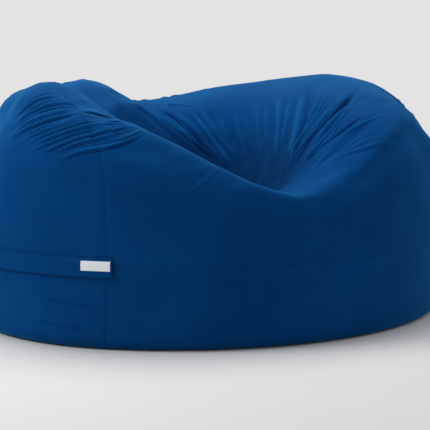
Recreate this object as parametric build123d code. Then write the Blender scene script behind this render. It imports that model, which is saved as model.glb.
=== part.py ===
from build123d import *
import math
import os

# Bean bag chair: a foam-filled sack with a seat hollow between two raised sides.
# Frame: origin on the floor under the middle, X along the sack, front at -Y, +Z up. Millimetres.

# Plan of the sack at its level seam: two end arcs joined by two longer side arcs
BAG_LENGTH = 1700
END_RADIUS = 650
END_HALF_ANGLE = 50
SEAM_HEIGHT = 255

# Lower band and base
BAND_LEAN = 12
BASE_ROUND = 42
SEAM_GAP = 0.2

# Upper form on the two raised sides
LEFT_CREST_HEIGHT = 795
RIGHT_CREST_HEIGHT = 817
RIGHT_CREST_X = 400
RIGHT_SEAM_HEIGHT = 756
CREST_SETBACK = 40
SIDE_WALL_LEAN = 15
WALL_SLOPE = 84
SHOULDER_DEPTH = 305
CROWN_DROP = 96
CROWN_SLOPE = 30
CROWN_SHARE = 0.67
LEFT_END_WALL_HEIGHT = 470
RIGHT_END_WALL_HEIGHT = 410
END_FULLNESS = 1.4

# Seat hollow across the middle
HOLLOW_X = -50
HOLLOW_LEFT_REACH = 600
HOLLOW_RIGHT_REACH = 520
LIP_HEIGHT = 465
LIP_SETBACK = 160
LIP_WALL_HEIGHT = 380
SEAT_HEIGHT = 360
SEAT_SETBACK = 120
BACK_CREST_HEIGHT = 720
BACK_CREST_SETBACK = 270
BACK_WALL_HEIGHT = 520
BACK_DIP_LEFT_REACH = 300
BACK_DIP_RIGHT_REACH = 640
BACK_RIDGE_DROP = 8

# Cloth and fill
COVER_THICKNESS = 2.0
LINER_THICKNESS = 0.8
LAYER_GAP = 0.5
FILL_LEDGE = 1.0

# Zip along the left end, on the level seam
ZIP_SLOT = 15
ZIP_END_MARGIN = 18
TAPE_WIDTH = 13.6
TAPE_THICKNESS = 0.7
TAPE_SEAT = 0.35
TOOTH_PITCH = 9
TOOTH_ROOT = 3.8
TOOTH_TIP = 3.2
TOOTH_REACH = 1.4
TOOTH_ROW = 4.4
TOOTH_THICKNESS = 2.4
STOP_LENGTH = 2.4

# Slider and pull tab
SLIDER_LENGTH = 18
SLIDER_FRONT_WIDTH = 13.4
SLIDER_REAR_WIDTH = 12
SLIDER_CORNER = 2
SLIDER_PLATE = 1.2
SLIDER_CLEARANCE = 0.3
SLIDER_FLANGE = 1.0
SLIDER_POST_LENGTH = 4
SLIDER_POST_WIDTH = 2.4
LUG_WIDTH = 1.2
LUG_LENGTH = 3.6
HINGE_BAR_RADIUS = 0.7
HINGE_BAR_HEIGHT = 1.45
PULL_EYE_WIDTH = 4.4
PULL_EYE_RADIUS = 1.25
PULL_LENGTH = 26
PULL_WIDTH = 8.5
PULL_THICKNESS = 1.2
PULL_HOLE_LENGTH = 11
PULL_HOLE_WIDTH = 4.5
RUNNING_CLEARANCE = 0.06

# Flap over the zip, and the label on its front end
FLAP_ABOVE = 28
FLAP_BELOW = 30
FLAP_SEWN_EDGE = 7
FLAP_STEP = 9
FLAP_STANDOFF = 6.8
FLAP_THICKNESS = 2.4
FLAP_SEAT = 0.3
FLAP_END_MARGIN = 3
LABEL_LENGTH = 92
LABEL_HEIGHT = 31
LABEL_DROP = 23
LABEL_THICKNESS = 0.8
LABEL_END_MARGIN = 2

# Stations of the upper form: plan angles on the ends, and shares of the middle length
END_ANGLES = (5, 12, 21, 31, 41)
MIDDLE_SHARES = (-1, -0.72, -0.48, -0.28, -0.08, 0.12, 0.36, 0.66, 1)

half_angle = math.radians(END_HALF_ANGLE)
end_centre = BAG_LENGTH / 2 - END_RADIUS
side_centre = end_centre * math.tan(half_angle)
side_radius = END_RADIUS + end_centre / math.cos(half_angle)
seam_x = end_centre + END_RADIUS * math.cos(half_angle)
seam_half_depth = END_RADIUS * math.sin(half_angle)
far = 2 * BAG_LENGTH

LEFT_AXIS = Axis((-end_centre, 0, 0), (0, 0, 1))
RIGHT_AXIS = Axis((end_centre, 0, 0), (0, 0, 1))
FRONT_AXIS = Axis((0, side_centre, 0), (0, 0, 1))
BACK_AXIS = Axis((0, -side_centre, 0), (0, 0, 1))


def mix(low, high, share):
    return low + (high - low) * share


# Upper form


def half_depth(x, inset):
    """Half of the oval's depth at a place along the middle length."""
    return math.sqrt((side_radius - inset) ** 2 - x**2) - side_centre


def crest_height(x):
    """Height of the sack's ridge, without the seat hollow, at a place along the middle length."""
    if x < RIGHT_CREST_X:
        along = (x + seam_x) / (RIGHT_CREST_X + seam_x)
        return mix(LEFT_CREST_HEIGHT, RIGHT_CREST_HEIGHT, along)
    past = (x - RIGHT_CREST_X) / (seam_x - RIGHT_CREST_X)
    return mix(RIGHT_CREST_HEIGHT, RIGHT_SEAM_HEIGHT, past**2)


def hollow_share(x, left_reach, right_reach):
    """1 in the middle of the seat hollow, 0 on the raised sides."""
    reach = left_reach if x < HOLLOW_X else right_reach
    away = min(1, abs(x - HOLLOW_X) / reach)
    return 0.5 * (1 + math.cos(math.pi * away))


def end_height(angle, wall, crest):
    """Height of an end's middle line at a plan angle, from its wall to the crest at the seam."""
    out = (math.cos(angle) - math.cos(half_angle)) / (1 - math.cos(half_angle))
    rise = (1 - out**END_FULLNESS) ** (1 / END_FULLNESS)
    return mix(wall, crest, rise)


def corner_points(x, depth, top):
    """Corners of a cross-section from front to back: lists of (y, z) and of slopes in degrees."""
    hollow = hollow_share(x, HOLLOW_LEFT_REACH, HOLLOW_RIGHT_REACH)
    dip = hollow_share(x, BACK_DIP_LEFT_REACH, BACK_DIP_RIGHT_REACH)
    share = min(1, depth / seam_half_depth)
    shoulder = top - SHOULDER_DEPTH * share
    crown = top - CROWN_DROP * share
    crown_y = CROWN_SHARE * depth
    wall_y = depth - SIDE_WALL_LEAN * share
    lip = (mix(-crown_y, LIP_SETBACK - depth, hollow), mix(crown, LIP_HEIGHT, hollow))
    seat = (mix(-CREST_SETBACK * share, -SEAT_SETBACK, hollow), mix(top, SEAT_HEIGHT, hollow))
    ridge = mix(crown, top - BACK_RIDGE_DROP, min(1, 2 * hollow))
    back = (mix(crown_y, depth - BACK_CREST_SETBACK, hollow), mix(ridge, BACK_CREST_HEIGHT, dip))
    front_wall = (-wall_y, mix(shoulder, LIP_WALL_HEIGHT, hollow))
    back_wall = (wall_y, mix(shoulder, BACK_WALL_HEIGHT, dip))
    front_slope = mix(CROWN_SLOPE, 0, hollow)
    points = [(-depth, SEAM_HEIGHT), front_wall, lip, seat, back, back_wall, (depth, SEAM_HEIGHT)]
    slopes = [90, WALL_SLOPE, front_slope, 0, -front_slope, -WALL_SLOPE, -90]
    return points, slopes


def joint_of(start, start_slope, end, end_slope):
    """The point where two arcs meet that join two sloped points smoothly."""
    a = Vector(math.cos(math.radians(start_slope)), math.sin(math.radians(start_slope)))
    b = Vector(math.cos(math.radians(end_slope)), math.sin(math.radians(end_slope)))
    span = Vector(*end) - Vector(*start)
    turn = 2 * (1 - a.dot(b))
    along = span.dot(a + b)
    if turn < 1e-9:
        reach = span.dot(span) / (2 * along)
    else:
        reach = (math.sqrt(along**2 + turn * span.dot(span)) - along) / turn
    return (Vector(*start) + Vector(*end) + (a - b) * reach) / 2


def direction(slope):
    return (0, math.cos(math.radians(slope)), math.sin(math.radians(slope)))


def cross_section(x, depth, top, inset, plan_inset):
    """A closed cross-section of the upper form, inset by the layers outside it."""
    points, slopes = corner_points(x, depth, top)
    inner = []
    for (y, z), slope in zip(points, slopes):
        angle = math.radians(slope)
        inner.append((y + plan_inset * math.sin(angle), z - inset * math.cos(angle)))
    inner[0] = (plan_inset - depth, SEAM_HEIGHT)
    inner[-1] = (depth - plan_inset, SEAM_HEIGHT)
    edges = [Line((x, *inner[0]), (x, *inner[1]))]
    for i in range(1, len(inner) - 2):
        middle = joint_of(inner[i], slopes[i], inner[i + 1], slopes[i + 1])
        meeting = (x, middle.X, middle.Y)
        edges.append(TangentArc((x, *inner[i]), meeting, tangent=direction(slopes[i])))
        edges.append(TangentArc(meeting, (x, *inner[i + 1]), tangent=edges[-1] % 1))
    edges.append(Line((x, *inner[-2]), (x, *inner[-1])))
    edges.append(Line((x, *inner[-1]), (x, *inner[0])))
    return Face(Wire(edges))


def end_sections(side, wall, crest, inset):
    """Cross-sections of one end, from its tip to near its upright seam."""
    sections = []
    for angle in END_ANGLES:
        plan = math.radians(angle)
        x = side * (end_centre + (END_RADIUS - inset) * math.cos(plan))
        depth = END_RADIUS * math.sin(plan)
        top = end_height(plan, wall, crest)
        sections.append(cross_section(x, depth, top, inset, inset * math.sin(plan)))
    return sections


def upper_form(inset):
    """The solid of the sack above its level seam, inset by the layers outside it."""
    left = end_sections(-1, LEFT_END_WALL_HEIGHT, LEFT_CREST_HEIGHT, inset)
    right = end_sections(1, RIGHT_END_WALL_HEIGHT, RIGHT_SEAM_HEIGHT, inset)
    middle = []
    for share in MIDDLE_SHARES:
        x = share * seam_x
        plan_inset = half_depth(x, 0) - half_depth(x, inset)
        middle.append(cross_section(x, half_depth(x, 0), crest_height(x), inset, plan_inset))
    return loft(left + middle + right[::-1])


def wall_between(outer_inset, inner_inset):
    """The upper part of one cloth layer, as one shell open below."""
    return upper_form(outer_inset) - upper_form(inner_inset)


def block(x_low, x_high, z_low):
    """A large block that keeps what lies between two upright planes and above a level."""
    size = Box(x_high - x_low, far, far, align=(Align.MIN, Align.CENTER, Align.MIN))
    return Pos(x_low, 0, z_low) * size


def panels_of(layer, left_edge):
    """Left, centre and right panels of an upper layer, cut at the two upright seams."""
    left = layer & block(-far, -seam_x, left_edge)
    centre = layer & block(-seam_x, seam_x, SEAM_HEIGHT)
    right = layer & block(seam_x, far, SEAM_HEIGHT)
    return left, centre, right


# Lower band and base

band_angle = math.atan2(BAND_LEAN, SEAM_HEIGHT)
round_run = BASE_ROUND / math.tan((math.pi / 2 + band_angle) / 2)
floor_inset = BAND_LEAN + round_run


def band_edge(radius, inset, top):
    """One face line of the band in section, from a level down to where it turns flat."""
    shift = inset / math.cos(band_angle)
    slope = math.tan(band_angle)
    corner = radius - BAND_LEAN - shift + inset * slope
    run = round_run * (1 - inset / BASE_ROUND)
    upper = (corner + run * math.sin(band_angle), inset + run * math.cos(band_angle))
    return [(radius - shift - (SEAM_HEIGHT - top) * slope, top), upper, (radius - floor_inset, inset)]


def band_profile(radius, outer_inset, inner_inset, top):
    """The band's section: a leaning wall that rounds under to the floor."""
    outer = band_edge(radius, outer_inset, top)
    inner = band_edge(radius, inner_inset, top)
    points = [[(r, 0, z) for r, z in line] for line in (outer, inner)]
    outside, inside = points
    edges = [
        Line(outside[0], outside[1]),
        TangentArc(outside[1], outside[2], tangent=Vector(*outside[1]) - Vector(*outside[0])),
        Line(outside[2], inside[2]),
        TangentArc(inside[1], inside[2], tangent=Vector(*inside[1]) - Vector(*inside[0])),
        Line(inside[1], inside[0]),
        Line(inside[0], outside[0]),
    ]
    return Face(Wire(edges))


def turned(profile, axis, start, sweep):
    """A section in the XZ plane turned about an upright axis, from a start angle."""
    placed = Pos(*axis.position) * Rot(Z=start) * profile
    return revolve(placed, axis, sweep)


side_half_angle = 90 - END_HALF_ANGLE
SEGMENTS = {
    "front": (FRONT_AXIS, side_radius, 270, side_half_angle),
    "left": (LEFT_AXIS, END_RADIUS, 180, END_HALF_ANGLE),
    "back": (BACK_AXIS, side_radius, 90, side_half_angle),
    "right": (RIGHT_AXIS, END_RADIUS, 0, END_HALF_ANGLE),
}


def band(side, outer_inset, inner_inset, top):
    """One side's part of the band, between two upright seams."""
    axis, radius, middle, half = SEGMENTS[side]
    profile = band_profile(radius, outer_inset, inner_inset, top)
    return turned(profile, axis, middle - half, 2 * half)


def oval(inset, level):
    """The sack's plan outline, inset, as a face at a level."""
    end = END_RADIUS - inset
    side = side_radius - inset
    x = end_centre + end * math.cos(half_angle)
    y = end * math.sin(half_angle)
    tip = end_centre + end
    flank = side - side_centre
    edges = [
        ThreePointArc((-x, -y), (0, -flank), (x, -y)),
        ThreePointArc((x, -y), (tip, 0), (x, y)),
        ThreePointArc((x, y), (0, flank), (-x, y)),
        ThreePointArc((-x, y), (-tip, 0), (-x, -y)),
    ]
    return Pos(0, 0, level) * Face(Wire(edges))


def base(inset, thickness):
    """The flat panel that closes a layer below, just inside its band."""
    return extrude(oval(floor_inset + SEAM_GAP, inset), thickness)


def lower_fill(inset):
    """The fill below the level seam: leaning sides and a rounded lower edge."""
    top = oval(inset / math.cos(band_angle), SEAM_HEIGHT)
    corner = BAND_LEAN + inset / math.cos(band_angle) - inset * math.tan(band_angle)
    body = loft([oval(corner, inset), top], ruled=True)
    return fillet(body.faces().sort_by(Axis.Z)[0].edges(), BASE_ROUND - inset)


# Zip, in a frame that follows the left end: angle about its axis, radius and height

chain_radius = END_RADIUS + TAPE_SEAT + TAPE_THICKNESS / 2
chain_half = half_angle - ZIP_END_MARGIN / END_RADIUS
front_end = 180 + math.degrees(chain_half)
degrees_per_mm = math.degrees(1 / chain_radius)


def strip(inner_radius, thickness, z_low, z_high, start, sweep):
    """A thin upright strip bent round the left end."""
    corners = [(inner_radius, z_low), (inner_radius + thickness, z_low)]
    corners += [(inner_radius + thickness, z_high), (inner_radius, z_high)]
    profile = Face(Wire.make_polygon([(r, 0, z) for r, z in corners]))
    return turned(profile, LEFT_AXIS, start, sweep)


def on_chain(shape, angle):
    """Place a shape from its own frame (x along the zip to the front, y up, z out) on the zip."""
    turn = math.radians(angle)
    out = Vector(math.cos(turn), math.sin(turn), 0)
    along = Vector(-math.sin(turn), math.cos(turn), 0)
    origin = Vector(-end_centre, 0, SEAM_HEIGHT) + out * chain_radius
    return Plane(origin, x_dir=along, z_dir=out).location * shape


def zip_tape(side):
    low = SEAM_HEIGHT + min(side * TOOTH_ROW, side * (TOOTH_ROW + TAPE_WIDTH))
    span = 2 * (END_HALF_ANGLE - FLAP_END_MARGIN * degrees_per_mm)
    return strip(END_RADIUS + TAPE_SEAT, TAPE_THICKNESS, low, low + TAPE_WIDTH, 180 - span / 2, span)


def tooth(side):
    """One tooth, from the tape's edge across the middle of the zip."""
    root, tip = TOOTH_ROOT / 2, TOOTH_TIP / 2
    outline = [(-root, TOOTH_ROW), (root, TOOTH_ROW), (tip, -TOOTH_REACH), (-tip, -TOOTH_REACH)]
    face = Face(Wire.make_polygon([(x, side * y, -TOOTH_THICKNESS / 2) for x, y in outline]))
    return extrude(face, TOOTH_THICKNESS, dir=(0, 0, 1))


def zip_teeth(side, shift):
    """One row of teeth, half a pitch out of step with the other."""
    pitch = TOOTH_PITCH * degrees_per_mm
    count = int(2 * math.degrees(chain_half) / pitch)
    one = tooth(side)
    teeth = [on_chain(one, front_end - (i + 0.5 + shift) * pitch) for i in range(count)]
    return Compound([solid for part in teeth for solid in part.solids()])


def zip_stops():
    """Two stops at the closed end, one on each tape, and one across both at the open end."""
    height = TOOTH_ROW - TOOTH_REACH - SLIDER_CLEARANCE * 2
    top = Box(STOP_LENGTH, height, TOOTH_THICKNESS)
    above = Pos(STOP_LENGTH, TOOTH_ROW - height / 2, 0) * top
    below = Pos(STOP_LENGTH, height / 2 - TOOTH_ROW, 0) * top
    last = Pos(-STOP_LENGTH, 0, 0) * Box(STOP_LENGTH, 2 * TOOTH_ROW, TOOTH_THICKNESS)
    rear_end = 360 - front_end
    placed = [on_chain(above, front_end), on_chain(below, front_end), on_chain(last, rear_end)]
    return Compound([solid for part in placed for solid in part.solids()])


# Slider and pull tab

slider_angle = front_end - STOP_LENGTH * degrees_per_mm
plate_inside = TOOTH_THICKNESS / 2 + SLIDER_CLEARANCE
plate_outside = plate_inside + SLIDER_PLATE
flange_inside = TOOTH_ROW + SLIDER_CLEARANCE
flange_end = TAPE_THICKNESS / 2 + SLIDER_CLEARANCE
bar_height = plate_outside + HINGE_BAR_HEIGHT


def slider_plate(level):
    """One plate of the slider, wider at its front, as a face at a level."""
    x = SLIDER_LENGTH / 2
    front = SLIDER_FRONT_WIDTH / 2
    rear = SLIDER_REAR_WIDTH / 2
    outline = Face(Wire.make_polygon([(-x, -rear), (x, -front), (x, front), (-x, rear)]))
    return Pos(0, 0, level) * fillet(outline.vertices(), SLIDER_CORNER)


def slider():
    """Two plates on a post at the front, flanges that guide the rows, and lugs for the pull."""
    body = extrude(slider_plate(plate_inside), SLIDER_PLATE)
    body += extrude(slider_plate(-plate_outside), SLIDER_PLATE)
    post = Box(SLIDER_POST_LENGTH, SLIDER_POST_WIDTH, 2 * plate_inside)
    body += Pos(SLIDER_LENGTH / 2 - SLIDER_POST_LENGTH / 2 - SLIDER_CORNER / 2, 0, 0) * post
    flange_height = plate_inside - flange_end
    flange = Box(SLIDER_LENGTH - 2 * SLIDER_CORNER, SLIDER_FLANGE, flange_height)
    for side in (-1, 1):
        for face in (-1, 1):
            y = side * (flange_inside + SLIDER_FLANGE / 2)
            body += Pos(0, y, face * (flange_end + flange_height / 2)) * flange
    lug_top = bar_height + PULL_EYE_RADIUS
    lug = Box(LUG_LENGTH, LUG_WIDTH, lug_top - plate_outside, align=(Align.CENTER, Align.CENTER, Align.MIN))
    lug_y = PULL_EYE_WIDTH / 2 + SLIDER_CLEARANCE + LUG_WIDTH / 2
    for side in (-1, 1):
        body += Pos(0, side * lug_y, plate_outside) * lug
    bar = Cylinder(HINGE_BAR_RADIUS, 2 * lug_y, rotation=(90, 0, 0))
    return body + Pos(0, 0, bar_height) * bar


def pull_tab():
    """A flat tab with an eye round the slider's bar and a slot to grip, lying back over the zip."""
    eye = Cylinder(PULL_EYE_RADIUS, PULL_EYE_WIDTH, rotation=(90, 0, 0))
    neck = Box(LUG_LENGTH, PULL_EYE_WIDTH, PULL_THICKNESS, align=(Align.MAX, Align.CENTER, Align.CENTER))
    blade_length = PULL_LENGTH - LUG_LENGTH + SLIDER_CORNER
    blade = extrude(SlotOverall(blade_length, PULL_WIDTH), PULL_THICKNESS / 2, both=True)
    blade -= extrude(SlotOverall(PULL_HOLE_LENGTH, PULL_HOLE_WIDTH), PULL_THICKNESS, both=True)
    tab = eye + neck + Pos(-LUG_LENGTH + SLIDER_CORNER - blade_length / 2, 0, 0) * blade
    tab -= Cylinder(HINGE_BAR_RADIUS + RUNNING_CLEARANCE, far, rotation=(90, 0, 0))
    return Pos(0, 0, bar_height) * tab


# Flap and label


def zip_flap():
    """A strip sewn along its top edge that steps out and hangs over the zip."""
    top = SEAM_HEIGHT + FLAP_ABOVE
    low = SEAM_HEIGHT - FLAP_BELOW
    seat = END_RADIUS + FLAP_SEAT
    hang = END_RADIUS + FLAP_STANDOFF
    bend = top - FLAP_SEWN_EDGE
    inside = [(seat, top), (seat, bend), (hang, bend - FLAP_STEP), (hang, low)]
    rise = FLAP_THICKNESS * math.tan(math.atan2(hang - seat, FLAP_STEP) / 2)
    outside = [(hang, low), (hang, bend - FLAP_STEP + rise), (seat, bend + rise), (seat, top)]
    points = inside + [(r + FLAP_THICKNESS, z) for r, z in outside]
    profile = Face(Wire.make_polygon([(r, 0, z) for r, z in points]))
    half = END_HALF_ANGLE - FLAP_END_MARGIN * degrees_per_mm
    return turned(profile, LEFT_AXIS, 180 - half, 2 * half)


def label():
    """The small woven label on the flap, its front end at the upright seam."""
    radius = END_RADIUS + FLAP_STANDOFF + FLAP_THICKNESS + SEAM_GAP
    low = SEAM_HEIGHT - LABEL_DROP
    end = 180 + END_HALF_ANGLE - (FLAP_END_MARGIN + LABEL_END_MARGIN) * degrees_per_mm
    sweep = math.degrees(LABEL_LENGTH / radius)
    return strip(radius, LABEL_THICKNESS, low, low + LABEL_HEIGHT, end - sweep, sweep)


liner_inset = COVER_THICKNESS + LAYER_GAP
liner_inside = liner_inset + LINER_THICKNESS
fill_inset = liner_inside + LAYER_GAP
slot_top = SEAM_HEIGHT + ZIP_SLOT / 2
slot_bottom = SEAM_HEIGHT - ZIP_SLOT / 2

cover = wall_between(0, COVER_THICKNESS)
cover_left, cover_centre, cover_right = panels_of(cover, slot_top)
liner_band = Part() + [band(side, liner_inset, liner_inside, SEAM_HEIGHT) for side in SEGMENTS]

nodes = {
    "cover_centre_panel": cover_centre,
    "cover_left_panel": cover_left,
    "cover_right_panel": cover_right,
    "band_front": band("front", 0, COVER_THICKNESS, SEAM_HEIGHT),
    "band_left": band("left", 0, COVER_THICKNESS, slot_bottom),
    "band_back": band("back", 0, COVER_THICKNESS, SEAM_HEIGHT),
    "band_right": band("right", 0, COVER_THICKNESS, SEAM_HEIGHT),
    "base_panel": base(0, COVER_THICKNESS),
    "liner_upper": wall_between(liner_inset, liner_inside),
    "liner_band": liner_band,
    "liner_base": base(liner_inset, LINER_THICKNESS),
    "foam_fill": lower_fill(fill_inset) + upper_form(fill_inset + FILL_LEDGE),
    "zip_tape_upper": zip_tape(1),
    "zip_tape_lower": zip_tape(-1),
    "zip_teeth_upper": zip_teeth(1, 0),
    "zip_teeth_lower": zip_teeth(-1, 0.5),
    "zip_stops": zip_stops(),
    "zip_slider": on_chain(slider(), slider_angle),
    "zip_pull_tab": on_chain(pull_tab(), slider_angle),
    "zip_flap": zip_flap(),
    "label": label(),
}

os.makedirs("parts", exist_ok=True)
for name, shape in nodes.items():
    export_step(shape, f"parts/{name}.step")
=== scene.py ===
import math

import bmesh
import bpy
import numpy as np
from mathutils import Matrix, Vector
from mathutils.bvhtree import BVHTree


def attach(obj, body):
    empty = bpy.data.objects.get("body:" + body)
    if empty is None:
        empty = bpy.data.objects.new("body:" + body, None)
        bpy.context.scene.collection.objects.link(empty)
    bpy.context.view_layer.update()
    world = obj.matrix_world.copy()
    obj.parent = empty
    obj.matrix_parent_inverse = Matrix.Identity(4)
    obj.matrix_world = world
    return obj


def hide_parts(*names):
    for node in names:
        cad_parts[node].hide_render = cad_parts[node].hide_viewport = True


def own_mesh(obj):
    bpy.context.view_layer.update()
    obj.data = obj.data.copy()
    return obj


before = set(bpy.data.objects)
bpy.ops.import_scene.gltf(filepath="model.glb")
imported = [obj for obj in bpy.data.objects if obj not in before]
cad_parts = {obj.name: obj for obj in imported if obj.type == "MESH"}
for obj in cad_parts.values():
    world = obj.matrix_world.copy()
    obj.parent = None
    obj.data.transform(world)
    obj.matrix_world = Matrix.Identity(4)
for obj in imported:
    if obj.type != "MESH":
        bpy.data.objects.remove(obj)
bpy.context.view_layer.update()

# The sack's plan and seams, in metres, as the solids have them
END_CENTRE = 0.2
END_RADIUS = 0.65
END_HALF_ANGLE = math.radians(50)
SEAM_X = END_CENTRE + END_RADIUS * math.cos(END_HALF_ANGLE)
SEAM_Z = 0.255
ZIP_SLOT = 0.015

# Picture
PICTURE = 430
FOCAL = 1262
CAMERA_PLACE = (-2.12, -3.856, 0.831)
CAMERA_TURN = 29
CAMERA_PITCH = 6.56
SENSOR = 36

# Surface: the step of its mesh, how far points start outside the solids, and how close cuts snap, in metres
SURFACE_STEP = 0.009
FIT_FROM = 0.012
RELAX_FROM = 0.006
SEAM_SNAP = 0.0022

# How many times the upper form, its front right and its left crest are softened
RIM_SOFTENING = 34
FRONT_SOFTENING = 150

# Cloth and the layers below it: thickness and depths in metres, and the share of faces that plain pieces keep
CLOTH = 0.002
LINER_DEPTH = 0.014
FILL_DEPTH = 0.018
BASE_FACES = 0.12
INNER_FACES = 0.35

# Colours of the pile: deep blue and lighter blue, mixed by random mottle and by a painted highlight on fold
# ridges; a pale painted highlight on the upward crests; a dark painted shade in creases and down in the seat;
# a painted highlight along fold ridges
DEEP_BLUE = (0.0005, 0.029, 0.128)
LIT_BLUE = (0.0012, 0.057, 0.205)
# Painted highlight on the upward-facing crests
PAINTED_CREST_HIGHLIGHT_BLUE = (0.016, 0.095, 0.26)
# Painted shade in the creases and down in the seat
PAINTED_SHADE_BLUE = (0.0003, 0.012, 0.06)
# Painted highlight along fold ridges
PAINTED_RIDGE_HIGHLIGHT_BLUE = (0.004, 0.12, 0.34)


# Mesh helpers


def new_object(name, mesh):
    obj = bpy.data.objects.new(name, mesh)
    bpy.context.scene.collection.objects.link(obj)
    return obj


def evaluated_mesh(obj):
    """The mesh of an object with its modifiers applied."""
    bpy.context.view_layer.update()
    graph = bpy.context.evaluated_depsgraph_get()
    return bpy.data.meshes.new_from_object(obj.evaluated_get(graph))


def apply_modifiers(obj):
    mesh = evaluated_mesh(obj)
    obj.modifiers.clear()
    obj.data = mesh


def points_of(mesh):
    co = np.empty(len(mesh.vertices) * 3)
    mesh.vertices.foreach_get("co", co)
    return co.reshape(-1, 3)


def normals_of(mesh):
    normals = np.empty(len(mesh.vertices) * 3)
    mesh.vertices.foreach_get("normal", normals)
    return normals.reshape(-1, 3)


def set_points(mesh, co):
    mesh.vertices.foreach_set("co", np.ascontiguousarray(co, dtype=np.float32).ravel())
    mesh.update()


def smooth_step(low, high, value):
    share = np.clip((value - low) / (high - low), 0, 1)
    return share * share * (3 - 2 * share)


def smoothed(mesh, values, passes):
    """Values at a mesh's points, each drawn halfway to its neighbours' mean, several times."""
    ends = np.empty(len(mesh.edges) * 2, dtype=np.int32)
    mesh.edges.foreach_get("vertices", ends)
    here = np.concatenate([ends[0::2], ends[1::2]])
    there = np.concatenate([ends[1::2], ends[0::2]])
    total = len(values)
    count = np.maximum(np.bincount(here, minlength=total), 1)[:, None]
    for _ in range(passes):
        sums = [np.bincount(here, weights=column[there], minlength=total) for column in values.T]
        values = 0.5 * values + 0.5 * np.stack(sums, axis=1) / count
    return values


# Camera


def place_camera():
    camera = bpy.data.objects.new("camera", bpy.data.cameras.new("camera"))
    bpy.context.scene.collection.objects.link(camera)
    camera.location = CAMERA_PLACE
    camera.rotation_euler = (math.radians(90 - CAMERA_PITCH), 0, -math.radians(CAMERA_TURN))
    camera.data.sensor_width = SENSOR
    camera.data.lens = FOCAL / PICTURE * SENSOR
    bpy.context.scene.camera = camera
    bpy.context.view_layer.update()
    return camera


camera = place_camera()


# The sack's outer surface, even and closed


def cad_tree(*names):
    """A search tree over the faces of some CAD nodes."""
    points, faces = [], []
    for name in names:
        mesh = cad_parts[name].data
        start = len(points)
        points += [tuple(v.co) for v in mesh.vertices]
        faces += [[start + i for i in p.vertices] for p in mesh.polygons]
    return BVHTree.FromPolygons(points, faces)


COVER_NODES = (
    "cover_centre_panel",
    "cover_left_panel",
    "cover_right_panel",
    "band_front",
    "band_left",
    "band_back",
    "band_right",
    "base_panel",
)


def even_surface():
    """An even mesh on the outside of the cover, cut along the seams."""
    source = new_object("sack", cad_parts["foam_fill"].data.copy())
    weld = source.modifiers.new("weld", "WELD")
    weld.merge_threshold = 1e-5
    remesh = source.modifiers.new("even", "REMESH")
    remesh.mode = "VOXEL"
    remesh.voxel_size = SURFACE_STEP
    apply_modifiers(source)
    mesh = source.data
    swollen = points_of(mesh) + normals_of(mesh) * FIT_FROM
    tree = cad_tree(*COVER_NODES)
    placed = np.array([tree.find_nearest(Vector(p))[0] for p in swollen])
    set_points(mesh, placed)
    relax_surface(mesh, tree)
    grid = bmesh.new()
    grid.from_mesh(mesh)
    cuts = [((-SEAM_X, 0, 0), (1, 0, 0)), ((SEAM_X, 0, 0), (1, 0, 0))]
    cuts += [((0, 0, SEAM_Z + rise), (0, 0, 1)) for rise in (-ZIP_SLOT / 2, 0, ZIP_SLOT / 2)]
    for place, normal in cuts:
        everything = grid.verts[:] + grid.edges[:] + grid.faces[:]
        bmesh.ops.bisect_plane(
            grid, geom=everything, dist=SEAM_SNAP, plane_co=place, plane_no=normal, use_snap_center=True
        )
    grid.to_mesh(mesh)
    grid.free()
    plain = mesh.attributes.new("plain", "FLOAT_VECTOR", "POINT")
    plain.data.foreach_set("vector", points_of(mesh).ravel())
    mesh.shade_smooth()
    return source


def plain_places(mesh):
    """Where each point lay on the plain form, before folds and settling."""
    places = np.empty(len(mesh.vertices) * 3)
    mesh.attributes["plain"].data.foreach_get("vector", places)
    return places.reshape(-1, 3)


def relax_surface(mesh, tree):
    """Spread the points evenly along the surface, then soften the upper form."""
    grid = bmesh.new()
    grid.from_mesh(mesh)
    for _ in range(2):
        bmesh.ops.smooth_vert(
            grid, verts=grid.verts, factor=0.5, use_axis_x=True, use_axis_y=True, use_axis_z=True
        )
        grid.normal_update()
        for v in grid.verts:
            v.co = tree.find_nearest(v.co + v.normal * RELAX_FROM)[0]
    grid.to_mesh(mesh)
    grid.free()
    co = points_of(mesh)
    upper = smooth_step(SEAM_Z + 0.08, SEAM_Z + 0.25, co[:, 2])[:, None]
    co = co + upper * (smoothed(mesh, co, RIM_SOFTENING) - co)
    x, y, z = co.T
    front_right = smooth_step(0.05, 0.25, x) * smooth_step(0.75, 0.55, x) * smooth_step(0.1, -0.15, y)
    left_crest = smooth_step(-0.15, -0.32, x) * smooth_step(0.52, 0.66, z) * smooth_step(0.35, 0.1, y)
    share = upper * np.maximum(front_right, left_crest)[:, None]
    set_points(mesh, co + share * (smoothed(mesh, co, FRONT_SOFTENING) - co))


sack = even_surface()
surface = BVHTree.FromObject(sack, bpy.context.evaluated_depsgraph_get())


# Folds: each is a line on the surface with a height and a half-width

MM = 0.001

# A line whose distance from the camera changes by more than this has left the surface it began on
DEPTH_JUMP = 0.3

# A fold's profile, in half-widths, and how far off the surface it still lifts points, in metres
RIDGE_SHARPNESS = 2.0
RIDGE_ROUNDING = 0.05
RIDGE_TOP = 0.22
VALLEY_DEPTH = 0.4
VALLEY_PLACE = 1.35
VALLEY_WIDTH = 0.6
FOLD_REACH = 3.2
FOLD_MARGIN = 0.02
OFF_SURFACE = 0.03

# Seams: a sunk line with a roll beside it; depths and heights in millimetres, the rest in metres
SEAM_WIDTH = 0.0045
UPRIGHT_DEPTH = 0.7
LEVEL_DEPTH = 0.6
ROLL_HEIGHT = 0.8
ROLL_PLACE = 0.016
ROLL_WIDTH = 0.01


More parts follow.
